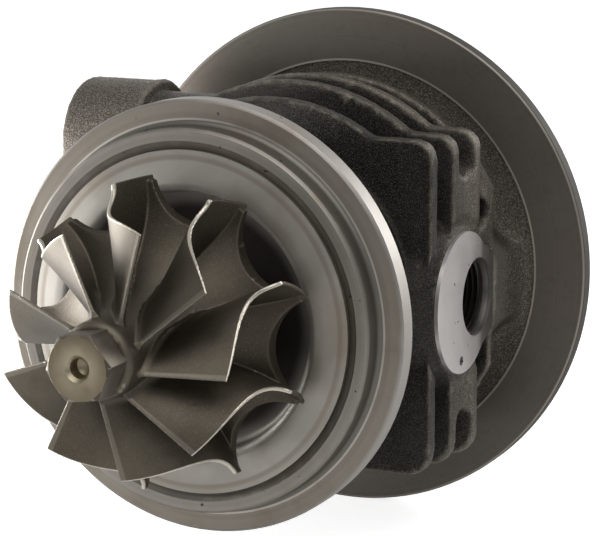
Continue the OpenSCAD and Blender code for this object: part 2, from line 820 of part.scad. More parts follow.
// Blade made of straight lines that run out from the shaft, thicker at the hub
module turbine_blade() {
    stretch = (hub_exit_y - blade_back_y) / (exducer_y - blade_back_y);
    skin([for (p = turbine_edge())
        let (root_y = blade_back_y + (p.y - blade_back_y) * stretch,
            u = (blade_back_y - p.y) / (blade_back_y - exducer_y),
            v = u * stretch,
            tip = blade_t / 2 * turbine_slope(u, p.x),
            root = blade_root_t / 2 * turbine_slope(v, blade_root_r))
        [polar(blade_root_r, root_y, turbine_turn(v), -root),
            polar(blade_root_r, root_y, turbine_turn(v), root),
            polar(p.x, p.y, turbine_turn(u), tip),
            polar(p.x, p.y, turbine_turn(u), -tip)]]);
}

// Hub with a scalloped back disc, and the neck that is welded to the shaft
module turbine_hub() {
    difference() {
        turned()
            polygon(concat(
                [[0, weld_y], [land_d / 2, weld_y], [boss_r, wheel_back_y], [disc_rim_r, wheel_back_y]],
                [for (a = [0 : 7.5 : 90])
                    [hub_r + (disc_rim_r - hub_r) * (1 - sin(a)),
                        disc_front_y + (hub_exit_y - disc_front_y) * (1 - cos(a))]],
                [[hub_r - hub_taper, hub_end_y + hub_chamfer],
                    [hub_r - hub_taper - hub_chamfer, hub_end_y], [0, hub_end_y]]));
        for (k = [0 : turbine_blades - 1])
            at_angle(turbine_phase + (k + 0.5) * 360 / turbine_blades)
                translate([scallop_at, 0, 0])
                    bar(scallop_r, hub_exit_y, wheel_back_y + cut);
    }
}

// Hexagonal nose with a chamfered end and a centre hole
module turbine_nose() {
    across = nose_af / cos(30) / 2;
    difference() {
        intersection() {
            at_angle(nose_phase)
                translate([0, nose_end_y, 0])
                    rotate([-90, 0, 0])
                        cylinder(r = across, h = nose_l + cut, $fn = 6);
            turned()
                polygon([[0, nose_end_y], [nose_af / 2, nose_end_y],
                    [across + cut, nose_end_y + nose_chamfer], [across + cut, hub_end_y + 2 * cut],
                    [0, hub_end_y + 2 * cut]]);
        }
        turned()
            polygon([[0, nose_end_y - cut], [centre_d / 2 + nose_chamfer + cut, nose_end_y - cut],
                [centre_d / 2, nose_end_y + nose_chamfer], [centre_d / 2, nose_end_y + centre_depth],
                [0, nose_end_y + centre_depth + centre_d / 4]]);
    }
}

module turbine_wheel() {
    color(wheel_brown)
        union() {
            turbine_hub();
            turbine_nose();
            for (k = [0 : turbine_blades - 1])
                at_angle(k * 360 / turbine_blades)
                    turbine_blade();
        }
}

// Groove for a seal ring, cut into a land
module ring_groove(y) {
    tube(land_d / 2 + cut, land_d / 2 - seal_ring_h, y - seal_ring_w / 2 - side_gap,
        y + seal_ring_w / 2 + side_gap);
}

module rotor_shaft() {
    color(ground_steel)
        difference() {
            union() {
                bar(land_d / 2, weld_y, land_end_y);
                bar(journal_d / 2, land_end_y - cut, bush_ys[0] + bush_l + circlip_room);
                bar(waist_d / 2, land_end_y, shoulder_y);
                bar(journal_d / 2, bush_ys[1] - circlip_room, shoulder_y);
                bar(stub_r, shoulder_y - cut, stub_end_y - stub_chamfer);
                translate([0, stub_end_y - stub_chamfer, 0])
                    rotate([-90, 0, 0])
                        cylinder(r1 = stub_r, r2 = stub_r - stub_chamfer, h = stub_chamfer);
            }
            ring_groove(turbine_ring_y);
        }
}

// Split seal ring, sprung against its bore
module seal_ring(y) {
    r = land_d / 2 + land_gap;
    split_ring(r - push_gap, r - seal_ring_h, y - seal_ring_w / 2, seal_ring_w, 40);
}

module turbine_seal_ring() {
    color(spring_steel)
        seal_ring(turbine_ring_y);
}

// Floating bush with oil holes and chamfered ends
module floating_bush(y) {
    r_in = journal_d / 2 + journal_gap;
    r_out = bush_d / 2;
    c = 0.5;
    color(bronze)
        difference() {
            turned()
                polygon([[r_in + c, y], [r_out - c, y], [r_out, y + c], [r_out, y + bush_l - c],
                    [r_out - c, y + bush_l], [r_in + c, y + bush_l], [r_in, y + bush_l - c], [r_in, y + c]]);
            for (k = [0 : oil_holes - 1])
                at_angle(k * 360 / oil_holes)
                    cross_bar(oil_hole_d / 2, 0, bush_d, y + bush_l / 2, 0);
        }
}

module turbine_bush() {
    floating_bush(bush_ys[0]);
}

module compressor_bush() {
    floating_bush(bush_ys[1]);
}

// Circlips in front of and behind a bush
module bush_circlips(y) {
    color(spring_steel)
        for (place = [y - side_gap - circlip_w, y + bush_l + side_gap])
            split_ring(circlip_out_r, circlip_out_r - circlip_h, place, circlip_w, 220);
}

module turbine_bush_circlips() {
    bush_circlips(bush_ys[0]);
}

module compressor_bush_circlips() {
    bush_circlips(bush_ys[1]);
}

module thrust_washer() {
    color(ground_steel)
        tube(runner_r, fit_r, washer_y, washer_y + runner_t);
}

// Round plate with a straight cut towards the drain, screw and dowel holes
module thrust_bearing() {
    color(bronze)
        difference() {
            bar(thrust_r, thrust_y, pocket_y);
            bar(collar_d / 2 + land_gap, thrust_y - cut, pocket_y + cut);
            translate([thrust_flat_x, thrust_y - cut, -thrust_r])
                cube([thrust_r, thrust_t + 2 * cut, 2 * thrust_r]);
            for (a = screw_angles())
                at_angle(a)
                    translate([thrust_circle_r, 0, 0])
                        screw_shape(push_gap, cut);
            for (a = pin_angles())
                at_angle(a)
                    translate([thrust_circle_r, 0, 0])
                        bar(pin_d / 2 + push_gap, thrust_y - cut, pocket_y + cut);
        }
}

// Countersunk screw, flush with the plate
module screw_shape(gap, over) {
    r = thrust_screw_d / 2;
    turned()
        polygon([[0, pocket_y - screw_l], [r + gap, pocket_y - screw_l],
            [r + gap, pocket_y - screw_head_h], [r + gap + screw_head_h, pocket_y],
            [r + gap + screw_head_h, pocket_y + over], [0, pocket_y + over]]);
}

module thrust_screws() {
    socket_af = thrust_screw_d * 0.6;
    color(spring_steel)
        for (a = screw_angles())
            at_angle(a)
                translate([thrust_circle_r, 0, 0])
                    difference() {
                        screw_shape(0, 0);
                        translate([0, pocket_y - screw_head_h * 0.8, 0])
                            rotate([-90, 0, 0])
                                cylinder(d = socket_af / cos(30), h = screw_head_h, $fn = 6);
                    }
}

module thrust_pins() {
    color(spring_steel)
        for (a = pin_angles())
            at_angle(a)
                translate([thrust_circle_r, 0, 0])
                    bar(pin_d / 2, pocket_y - pin_l, pocket_y);
}

module thrust_collar() {
    color(ground_steel)
        difference() {
            union() {
                bar(collar_d / 2, collar_y, flinger_y);
                bar(runner_r, collar_flange_y, flinger_y);
            }
            bar(fit_r, collar_y - cut, flinger_y + cut);
        }
}

// Thin plate on the thrust bearing, with a tongue bent into the drain
module oil_deflector() {
    tongue_w = thrust_r * 0.8;
    color(plate_steel)
        union() {
            difference() {
                bar(deflector_r, pocket_y, pocket_y + deflector_t);
                bar(deflector_hole_r, pocket_y - cut, pocket_y + deflector_t + cut);
            }
            translate([tongue_x, pocket_y - thrust_t, -tongue_w / 2])
                cube([deflector_t, thrust_t + deflector_t / 2, tongue_w]);
        }
}

module flinger_sleeve() {
    color(ground_steel)
        difference() {
            union() {
                bar(land_d / 2, flinger_y, flinger_end_y);
                bar(flinger_flange_r, flinger_y, flinger_y + flinger_flange_t);
            }
            bar(fit_r, flinger_y - cut, flinger_end_y + cut);
            ring_groove(compressor_ring_y);
        }
}

module compressor_seal_ring() {
    color(spring_steel)
        seal_ring(compressor_ring_y);
}

// Insert that closes the disc, hollow in front, with a rim groove and a raised hub
module seal_plate() {
    r = seal_plate_d / 2;
    groove = o_ring_groove_w / 2;
    hollow_r = deflector_r - deflector_grip;
    color(plate_steel)
        turned()
            polygon([[seal_bore_r, seal_web_y], [hollow_r, seal_web_y],
                [hollow_r, pocket_y + deflector_t], [deflector_r + seat_gap, pocket_y + deflector_t],
                [deflector_r + seat_gap, pocket_y], [r, pocket_y],
                [r, o_ring_y - groove], [r - o_ring_room, o_ring_y - groove],
                [r - o_ring_room, o_ring_y + groove], [r, o_ring_y + groove],
                [r, seal_rear_y], [seal_hub_r + seal_hub_chamfer, seal_rear_y], [seal_hub_r, seal_hub_y],
                [seal_bore_r, seal_hub_y]]);
}

module seal_plate_o_ring() {
    r = o_ring_room / 2 - push_gap;
    color(rubber)
        turned()
            translate([seal_plate_d / 2 - o_ring_room / 2, o_ring_y])
                circle(r = r);
}

module seal_plate_snap_ring() {
    r = pocket_r + snap_ring_bite - seat_gap;
    color(spring_steel)
        split_ring(r, r - snap_ring_h, seal_rear_y, snap_ring_w, 6);
}

// Hub line and blade-edge line of the compressor, from the nose (0) to the outer edge (1)
function compressor_hub(t) =
    [compressor_hub_r + (compressor_r - compressor_hub_r) * (1 - cos(90 * t)),
        compressor_blade_y - (compressor_blade_y - compressor_rim_y) * sin(90 * t)];

function compressor_edge(t) =
    [inducer_d / 2 + (compressor_r - inducer_d / 2) * (1 - cos(90 * t)),
        compressor_blade_y - (compressor_blade_y - compressor_rim_y - outlet_h) * sin(90 * t)];

// Turn of a compressor blade: steep at the inlet, swept back at the outlet
function compressor_turn(t) = compressor_wrap * (1 - pow(1 - t, 1.7));

// Blade from t = start to the outer edge, its root set into the hub
module compressor_blade(start) {
    steps = 12;
    root_in = 1.1;
    inset = 0.15;
    root_flare = 1.6;
    inlet_lean = 6;
    inlet_flare = 0.5;
    skin([for (i = [0 : steps])
        let (t = start + (1 - start) * i / steps,
            hub = compressor_hub(t) - root_in * [cos(90 * t), sin(90 * t)],
            tip = compressor_edge(t),
            half = compressor_blade_t * (1 + inlet_flare * (1 - t)) / 2,
            lean = inlet_lean * (1 - t))
        [polar(hub.x - inset, hub.y, compressor_turn(t), -root_flare * half),
            polar(hub.x - inset, hub.y, compressor_turn(t), root_flare * half),
            polar(tip.x - inset, tip.y, compressor_turn(t) - lean, half),
            polar(tip.x - inset, tip.y, compressor_turn(t) - lean, -half)]]);
}

module compressor_hub_solid() {
    difference() {
        turned()
            polygon(concat(
                [[0, flinger_end_y], [land_d / 2, flinger_end_y],
                    [land_d / 2 + compressor_flare, compressor_back_y], [compressor_r, compressor_back_y]],
                [for (i = [12 : -1 : 0]) compressor_hub(i / 12)],
                [[compressor_hub_r, compressor_end_y - compressor_chamfer],
                    [compressor_hub_r - compressor_chamfer, compressor_end_y],
                    [0, compressor_end_y]]));
        bar(fit_r, flinger_end_y - cut, compressor_end_y + cut);
    }
}

module compressor_wheel() {
    step = 360 / compressor_blades;
    color(cast_aluminium)
        union() {
            compressor_hub_solid();
            for (k = [0 : compressor_blades - 1]) {
                at_angle(k * step)
                    compressor_blade(0);
                at_angle((k + 0.5) * step)
                    compressor_blade(splitter_start);
            }
        }
}

// Hexagon nut with a round foot and a chamfered top
module lock_nut() {
    across = nut_af / cos(30) / 2;
    foot_h = 1.2;
    foot_step = 0.8;
    top_chamfer = 1;
    color(ground_steel)
        difference() {
            union() {
                bar(across + foot_step, nut_y, nut_y + foot_h);
                intersection() {
                    translate([0, nut_y, 0])
                        rotate([-90, 0, 0])
                            cylinder(r = across, h = nut_h, $fn = 6);
                    turned()
                        polygon([[0, nut_y - cut], [across + cut, nut_y - cut],
                            [across + cut, nut_end_y - top_chamfer], [nut_af / 2, nut_end_y],
                            [0, nut_end_y]]);
                }
            }
            bar(fit_r, nut_y - cut, nut_end_y + cut);
        }
}

bearing_housing();
heat_shield();
turbine_wheel();
rotor_shaft();
turbine_seal_ring();
turbine_bush();
compressor_bush();
turbine_bush_circlips();
compressor_bush_circlips();
thrust_washer();
thrust_bearing();
thrust_screws();
thrust_pins();
thrust_collar();
oil_deflector();
flinger_sleeve();
compressor_seal_ring();
seal_plate();
seal_plate_o_ring();
seal_plate_snap_ring();
compressor_wheel();
lock_nut();
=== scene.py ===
import json
import math

import bpy
from mathutils import Matrix, Vector

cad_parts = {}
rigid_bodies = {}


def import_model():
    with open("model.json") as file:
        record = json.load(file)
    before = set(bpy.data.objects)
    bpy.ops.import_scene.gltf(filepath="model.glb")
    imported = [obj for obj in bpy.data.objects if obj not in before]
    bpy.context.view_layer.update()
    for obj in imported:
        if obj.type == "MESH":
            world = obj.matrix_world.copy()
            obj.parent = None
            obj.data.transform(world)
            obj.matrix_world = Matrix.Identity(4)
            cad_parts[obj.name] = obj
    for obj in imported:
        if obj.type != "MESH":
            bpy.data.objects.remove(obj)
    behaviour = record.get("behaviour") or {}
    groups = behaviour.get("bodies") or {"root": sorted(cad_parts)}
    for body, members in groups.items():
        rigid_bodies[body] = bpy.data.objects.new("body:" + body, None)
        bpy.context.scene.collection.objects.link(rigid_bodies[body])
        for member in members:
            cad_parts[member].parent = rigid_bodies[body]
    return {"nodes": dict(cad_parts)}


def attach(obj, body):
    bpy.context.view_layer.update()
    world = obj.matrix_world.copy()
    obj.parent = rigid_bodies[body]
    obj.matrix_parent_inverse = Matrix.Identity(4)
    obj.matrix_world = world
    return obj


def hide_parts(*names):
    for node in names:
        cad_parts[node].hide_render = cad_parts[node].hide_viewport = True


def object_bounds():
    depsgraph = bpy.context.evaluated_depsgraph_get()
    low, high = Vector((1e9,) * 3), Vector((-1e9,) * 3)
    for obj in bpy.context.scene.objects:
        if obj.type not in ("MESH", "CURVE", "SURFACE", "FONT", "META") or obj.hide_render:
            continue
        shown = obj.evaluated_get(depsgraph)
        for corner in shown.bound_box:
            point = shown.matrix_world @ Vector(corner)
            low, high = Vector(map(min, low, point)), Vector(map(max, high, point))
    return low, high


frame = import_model()
cad_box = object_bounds()
nodes = frame["nodes"]
MM = 0.001


# Bearing housing, the casting. Sand-cast iron with four cooling fins, a drain boss and an inlet
# boss; the edges come rounded out of the sand. The solid is merged and remeshed for those soft edges.
def deselect():
    if bpy.context.object and bpy.context.object.mode != "OBJECT":
        bpy.ops.object.mode_set(mode="OBJECT")
    bpy.ops.object.select_all(action="DESELECT")


def activate(piece):
    deselect()
    piece.select_set(True)
    bpy.context.view_layer.objects.active = piece


def merged_copy(node, name):
    piece = nodes[node].copy()
    piece.data = nodes[node].data.copy()
    piece.name = piece.data.name = name
    piece.parent = None
    for key in list(piece.keys()):
        del piece[key]
    bpy.context.scene.collection.objects.link(piece)
    piece.data.materials.clear()
    activate(piece)
    bpy.ops.object.mode_set(mode="EDIT")
    bpy.ops.mesh.select_all(action="SELECT")
    bpy.ops.mesh.remove_doubles(threshold=1e-6)
    bpy.ops.object.mode_set(mode="OBJECT")
    bpy.ops.mesh.customdata_custom_splitnormals_clear()
    return piece


def modify(piece, kind, **settings):
    activate(piece)
    modifier = piece.modifiers.new(kind, kind)
    for key, value in settings.items():
        setattr(modifier, key, value)
    bpy.ops.object.modifier_apply(modifier=modifier.name)


def drop(piece, chosen, what):
    activate(piece)
    bpy.ops.object.mode_set(mode="EDIT")
    bpy.ops.mesh.select_all(action="DESELECT")
    bpy.ops.mesh.select_mode(type="FACE" if what == "FACE" else "VERT")
    bpy.ops.object.mode_set(mode="OBJECT")
    parts = piece.data.polygons if what == "FACE" else piece.data.vertices
    for part in parts:
        part.select = chosen(part.center if what == "FACE" else part.co)
    bpy.ops.object.mode_set(mode="EDIT")
    bpy.ops.mesh.delete(type=what)
    bpy.ops.object.mode_set(mode="OBJECT")


def smooth(piece, degrees):
    activate(piece)
    bpy.ops.object.shade_smooth_by_angle(angle=math.radians(degrees))


neck_y, disc_front, recess_y, disc_cut = 6.5 * MM, 86.9 * MM, 87.75 * MM, 88.2 * MM
step_r = 53.7 * MM
drain_at = (64.6 * MM, -2.6 * MM)
pad_x, pad_y = 46.5 * MM, 56 * MM
pad_r, drain_boss_r, hollow_y = 18.2 * MM, 13.75 * MM, 75.8 * MM
inlet_at = (57 * MM, 33 * MM)
plug_r, plug_length, plug_y = 31 * MM, 87 * MM, 47.5 * MM
fin_tip_r, fins_from, fins_to, inlet_boss_x = 41.5 * MM, 38 * MM, 79 * MM, -42 * MM
saddle_x, saddle_half = 36 * MM, 26 * MM
cast_voxel, tip_growth, sand_size, sand_height = 0.5 * MM, 0.7 * MM, 1.3 * MM, 0.3 * MM
drain_cut_x, drain_cut_r, inlet_cut_x, inlet_cut_r = 25 * MM, 10.9 * MM, -40 * MM, 5.9 * MM
pad_sink, neck_tuck, step_blend, step_lap = 1.1 * MM, 0.8 * MM, 4 * MM, 0.3 * MM


def from_drain(p):
    return math.hypot(p.y - drain_at[0], p.z - drain_at[1])


def near_pad(p, spare):
    from_middle = math.hypot(p.y - pad_y, p.z - drain_at[1])
    on_face = from_middle < pad_r + spare or from_drain(p) < drain_boss_r + spare
    return p.x > 0 and p.y < hollow_y and on_face


def from_inlet(p):
    return math.hypot(p.y - inlet_at[0], p.z - inlet_at[1])


casting = merged_copy("bearing_housing", "housing_casting")
deselect()
bpy.ops.mesh.primitive_cylinder_add(
    vertices=96, radius=plug_r, depth=plug_length, location=(0, plug_y, 0), rotation=(math.pi / 2, 0, 0)
)
plug = bpy.context.object
activate(casting)
plug.select_set(True)
bpy.ops.object.join()
modify(casting, "REMESH", mode="VOXEL", voxel_size=cast_voxel)
tips = casting.vertex_groups.new(name="tips")
tips.add([
    v.index for v in casting.data.vertices
    if abs(v.normal.y) < 0.8 and math.hypot(v.co.x, v.co.z) > fin_tip_r and fins_from < v.co.y < fins_to
    and not near_pad(v.co, 3 * MM) and v.co.x > inlet_boss_x
], 1.0, "REPLACE")
modify(casting, "DISPLACE", strength=tip_growth, mid_level=0.0, vertex_group="tips")
modify(casting, "SMOOTH", factor=0.5, iterations=14)
soft = casting.vertex_groups.new(name="saddle")
soft.add([
    v.index for v in casting.data.vertices
    if v.co.x > saddle_x and v.co.y > hollow_y and abs(v.co.z - drain_at[1]) < saddle_half
], 1.0, "REPLACE")
modify(casting, "SMOOTH", factor=0.5, iterations=120, vertex_group="saddle")
sand = bpy.data.textures.new("sand", "CLOUDS")
sand.noise_scale, sand.noise_depth = sand_size, 2
modify(casting, "DISPLACE", strength=sand_height, mid_level=0.5, texture=sand, texture_coords="LOCAL")
activate(casting)
bpy.ops.object.mode_set(mode="EDIT")
for y, side in ((neck_y, "clear_inner"), (disc_cut, "clear_outer")):
    bpy.ops.mesh.select_all(action="SELECT")
    bpy.ops.mesh.bisect(plane_co=(0, y, 0), plane_no=(0, 1, 0), **{side: True})
bpy.ops.object.mode_set(mode="OBJECT")
drain_end = hollow_y - 0.4 * MM
drop(casting, lambda p: p.x > drain_cut_x and from_drain(p) < drain_cut_r and p.y < drain_end, "VERT")
drop(casting, lambda p: p.x < inlet_cut_x and from_inlet(p) < inlet_cut_r, "VERT")
drop(casting, lambda p: p.y > disc_front and math.hypot(p.x, p.z) > step_r - step_lap, "VERT")
# only the outer skin stays: the galleries and pockets inside belong to the machined faces
outermost = max(casting.data.vertices, key=lambda v: v.co.x)
for vertex in casting.data.vertices:
    vertex.select = vertex == outermost
bpy.ops.object.mode_set(mode="EDIT")
bpy.ops.mesh.select_linked()
bpy.ops.mesh.select_all(action="INVERT")
bpy.ops.mesh.delete(type="VERT")
bpy.ops.object.mode_set(mode="OBJECT")
for vertex in casting.data.vertices:
    p = vertex.co
    if near_pad(p, 0.7 * MM):
        p.x = min(p.x, pad_x - pad_sink)
    if p.y < neck_y + 0.5 * MM:
        p.y -= neck_tuck
    from_axis = math.hypot(p.x, p.z)
    near = min(max((from_axis - step_r) / step_blend + 1.1, 0.0), 1.0)
    if p.y > disc_front - 3 * MM:
        p.y += max(recess_y - p.y, 0.0) * near * near * (3 - 2 * near)
    if p.y > disc_front and from_axis > step_r - 0.9 * MM:
        p.x, p.z = p.x * (step_r + step_lap) / from_axis, p.z * (step_r + step_lap) / from_axis
modify(casting, "DECIMATE", ratio=0.25)
smooth(casting, 60)


class Shade:
    """A shader socket that can be added, multiplied and fed to other nodes."""

    def __init__(self, tree, socket):
        self.tree, self.socket = tree, socket

    def node(self, kind, sockets, out=0, **settings):
        made = self.tree.nodes.new(kind)
        for key, value in settings.items():
            setattr(made, key, value)
        for key, value in sockets.items():
            if isinstance(value, Shade):
                self.tree.links.new(value.socket, made.inputs[key])
            else:
                made.inputs[key].default_value = value
        return Shade(self.tree, made.outputs[out])

    def sum(self, operation, a, b=0.0, clamp=False):
        return self.node("ShaderNodeMath", {0: a, 1: b}, operation=operation, use_clamp=clamp)

    def __add__(self, other):
        return self.sum("ADD", self, other)

    def __sub__(self, other):
        return self.sum("SUBTRACT", self, other)

    def __mul__(self, other):
        return self.sum("MULTIPLY", self, other)

    def __truediv__(self, other):
        return self.sum("DIVIDE", self, other)

    def __rsub__(self, other):
        return self.sum("SUBTRACT", other, self)

    __radd__ = __add__
    __rmul__ = __mul__

    def clamped(self):
        return self.sum("ADD", self, 0.0, True)

    def band(self, low, high):
        return self.node("ShaderNodeMapRange", {0: self, 1: low, 2: high}, interpolation_type="SMOOTHSTEP")

    def noise(self, scale, detail=2.0, rough=0.5):
        sockets = {"Vector": self, "Scale": scale, "Detail": detail, "Roughness": rough}
        return self.node("ShaderNodeTexNoise", sockets)

    def blend(self, a, b):
        sides = {0: self, 6: a, 7: b}
        sides = {k: (*v, 1) if isinstance(v, tuple) else v for k, v in sides.items()}
        return self.node("ShaderNodeMix", sides, out=2, data_type="RGBA")

    def bump(self, distance, strength=1.0):
        return self.node("ShaderNodeBump", {"Strength": strength, "Distance": distance, "Height": self})

    def round_axis(self):
        flat = self.node("ShaderNodeVectorMath", {0: self, 1: (1, 0, 1)}, operation="MULTIPLY")
        return self.node("ShaderNodeVectorMath", {0: flat}, out="Value", operation="LENGTH")

    def along(self, axis):
        return self.node("ShaderNodeSeparateXYZ", {0: self}, out=axis)

    def rings(self, scale, detail=3.0):
        sockets = {"W": self, "Scale": scale, "Detail": detail}
        return self.node("ShaderNodeTexNoise", sockets, noise_dimensions="1D")


def finish(name, metallic, roughness):
    material = bpy.data.materials.new(name)
    material.use_nodes = True
    tree = material.node_tree
    shader = tree.nodes["Principled BSDF"]
    shader.inputs["Metallic"].default_value = metallic
    shader.inputs["Roughness"].default_value = roughness
    place = Shade(tree, tree.nodes.new("ShaderNodeTexCoord").outputs["Object"])

    def feed(**sockets):
        for key, value in sockets.items():
            tree.links.new(value.socket, shader.inputs[key.replace("_", " ")])

    return material, place, feed


def edges(place, low, high):
    return place.node("ShaderNodeNewGeometry", {}, out="Pointiness").band(low, high)


sand_cast, place, feed = finish("sand_cast_iron", 0.75, 0.5)
grain = place.noise(3300, 2, 0.6)
speck = place.noise(3900, 1).band(0.57, 0.7)
blotch = place.noise(90, 3)
edge_highlight = edges(place, 0.515, 0.57)
dark = blotch.band(0.35, 0.65).blend((0.012, 0.011, 0.010), (0.024, 0.022, 0.019))
depth = place.along("Y")
# Painted light and shade: the middle of the housing and the inlet boss get a lighter tone. Faces turned
# towards the turbine end, the end by the flange and, a little, the end by the disc stay darker.
lit_middle = depth.band(44 * MM, 68 * MM) * (1 - depth.band(79 * MM, 86 * MM) * 0.25)
lit_boss = 1 - place.along("X").band(-44 * MM, -34 * MM)
facing = place.node("ShaderNodeTexCoord", {}, out="Normal").along("Y")
shaded_front = (1 - facing.band(-0.9, -0.45)) * (1 - depth.band(74 * MM, 80 * MM))
lit_zone = (lit_middle * (1 - shaded_front * 0.85) + lit_boss * 0.85).clamped()
dark = lit_zone.blend(dark, (0.058, 0.052, 0.045))
light = lit_zone.blend((0.062, 0.055, 0.046), (0.33, 0.284, 0.228))
tone = grain.band(0.44, 0.68).blend(dark, light)
# Painted shade: towards the recess by the disc, the grain is evened to a dim tone.
tone = (depth.band(81 * MM, 86 * MM) * 0.25).blend(tone, (0.075, 0.067, 0.057))
# The saddle between the drain boss and the disc turns a smoother, lighter grey: partly worn cast skin, partly
# painted sheen.
saddle = depth.band(74 * MM, 77 * MM) * (1 - depth.band(79 * MM, 84 * MM))
saddle = saddle * place.along("X").band(34 * MM, 42 * MM)
tone = (saddle * 0.5).blend(tone, (0.33, 0.305, 0.27))
edge_highlight = edge_highlight * (1 - depth.band(82 * MM, 85 * MM))
# Painted highlight: the rounded edges of the fins and bosses are lightened, and the sand's light specks grow
# stronger on them.
tone = (edge_highlight * 0.7).blend(tone, (0.33, 0.288, 0.234))
tone = (speck * (edge_highlight * 0.6 + 0.16)).blend(tone, (0.47, 0.42, 0.35))
# Painted shade: the casting's slots and crevices darken towards black, by how closed-in they are.
reach = {"Distance": 9 * MM}
open_air = place.node("ShaderNodeAmbientOcclusion", reach, out="AO", samples=6, only_local=True)
recess_shade = (1 - open_air.band(0.15, 0.75)) * (1 - depth.band(78 * MM, 83 * MM)) * 0.8
tone = recess_shade.blend(tone, (0.01, 0.009, 0.008))
feed(Base_Color=tone, Roughness=0.56 - grain * 0.3, Normal=(grain + speck * 0.4).bump(0.3 * MM, 0.7))
casting.data.materials.append(sand_cast)

# Bearing housing, the machined faces: turned flange and spigot, drain face and drilled drain, disc
# and all the bores. They keep the crisp edges of the solid and only the cast outside is taken away.
machined = merged_copy("bearing_housing", "housing_machined")
flange_back, disc_back, disc_from, bore_zone_r = 6.31 * MM, 88 * MM, 87.1 * MM, 35.5 * MM
spigot_bore_r, disc_bore_r = 39 * MM, 34 * MM
drain_x, drain_zone_r, gallery_x, inlet_zone_r = 20 * MM, 11.3 * MM, -20 * MM, 5.5 * MM


def on_pad(p):
    return p.x > pad_x - 0.9 * MM and near_pad(p, 0.1 * MM)


def cast_outside(p):
    from_axis = math.hypot(p.x, p.z)
    inside = from_axis < bore_zone_r
    disc = p.y > disc_back or p.y > disc_front and from_axis > step_r - 0.1 * MM
    drain = p.x > drain_x and from_drain(p) < drain_zone_r
    inlet = p.x < gallery_x and from_inlet(p) < inlet_zone_r
    return not (inside or p.y < flange_back or disc or drain or inlet or on_pad(p))


drop(machined, cast_outside, "FACE")
thread_r, thread_pitch, thread_depth, thread_mouth = 9.25 * MM, 1.5 * MM, 0.75 * MM, 0.9 * MM
thread_end, thread_slope, thread_flat, thread_turns = 14.9 * MM, 0.55 * MM, 0.2 * MM, 9


def thread_wall(p):
    far = from_drain(p)
    on_wall = abs(far - thread_r) < 0.25 * MM
    return pad_x - thread_end < p.x < pad_x - 0.5 * thread_mouth and on_wall


for vertex in machined.data.vertices:
    if thread_wall(vertex.co):
        widen = (thread_r + thread_depth + 0.02 * MM) / from_drain(vertex.co)
        vertex.co.y = drain_at[0] + (vertex.co.y - drain_at[0]) * widen
        vertex.co.z = drain_at[1] + (vertex.co.z - drain_at[1]) * widen
deselect()
bpy.ops.mesh.primitive_plane_add(size=MM)
thread = bpy.context.object
bpy.ops.object.mode_set(mode="EDIT")
bpy.ops.mesh.select_mode(type="VERT")
bpy.ops.mesh.merge(type="CENTER")
bpy.ops.transform.translate(value=(thread_r, 0, 0))
flank, flat, back = (thread_depth, 0, thread_slope), (0, 0, thread_flat), (-thread_depth, 0, thread_slope)
for step in (flank, flat, back, flat):
    bpy.ops.mesh.extrude_region_move(TRANSFORM_OT_translate={"value": step})
bpy.ops.object.mode_set(mode="OBJECT")
modify(thread, "SCREW", axis="Z", screw_offset=thread_pitch, iterations=thread_turns,
       steps=72, render_steps=72, use_merge_vertices=True, merge_threshold=1e-6)
thread_start = pad_x - thread_mouth - (thread_turns + 1) * thread_pitch
lay_down = Matrix.Rotation(math.pi / 2, 4, "Y")
thread.data.transform(Matrix.Translation((thread_start, *drain_at)) @ lay_down)
activate(machined)
thread.select_set(True)
bpy.ops.object.join()
smooth(machined, 25)

turned_iron, place, feed = finish("turned_iron", 1.0, 0.3)
radius = place.round_axis()
cut_lines = (radius + place.along("Y") * 0.7).rings(2600, 4)
wide = radius.rings(420, 2)
stain = place.noise(55, 4, 0.6)
tone = wide.band(0.3, 0.7).blend((0.185, 0.168, 0.147), (0.25, 0.232, 0.205))
groove = radius.band(46.8 * MM, 47 * MM)
tone = groove.blend(tone, (0.175, 0.168, 0.15))
joint = radius.band(48.3 * MM, 48.6 * MM) * (1 - radius.band(52.5 * MM, 52.9 * MM))
tone = joint.blend(tone, wide.blend((0.21, 0.182, 0.15), (0.34, 0.31, 0.267)))
tone = radius.band(52.5 * MM, 52.9 * MM).blend(tone, (0.28, 0.262, 0.25))
# Painted highlight: a thin bright ring on the spigot's lip.
lip_highlight = radius.band(48.1 * MM, 48.3 * MM) * (1 - radius.band(48.6 * MM, 48.8 * MM))
tone = (lip_highlight * 0.8).blend(tone, (0.6, 0.56, 0.5))
tone = (stain.band(0.45, 0.7) * 0.5).blend(tone, (0.19, 0.155, 0.12))
# Painted highlight: the flange's edges and chamfers are lightened.
edge_highlight = edges(place, 0.53, 0.62)
tone = (edge_highlight * 0.7).blend(tone, (0.66, 0.62, 0.56))
nick = place.noise(430, 1).band(0.765, 0.785)
tone = (nick * 0.7).blend(tone, (0.03, 0.028, 0.026))
feed(Base_Color=tone, Roughness=0.42 + stain * 0.16 + nick * 0.3, Normal=cut_lines.bump(0.012 * MM, 0.6))

turned_disc, place, feed = finish("turned_disc", 0.9, 0.42)
radius = place.round_axis()
cut_lines = radius.rings(1500, 4)
stain = place.noise(38, 4, 0.65)
mottle = place.noise(420, 4, 0.75)
tone = cut_lines.band(0.2, 0.8).blend((0.15, 0.131, 0.112), (0.165, 0.145, 0.125))
tone = (stain.band(0.4, 0.7) * 0.6).blend(tone, (0.145, 0.142, 0.125))
tone = (mottle.band(0.45, 0.75) * 0.4).blend(tone, (0.11, 0.098, 0.086))
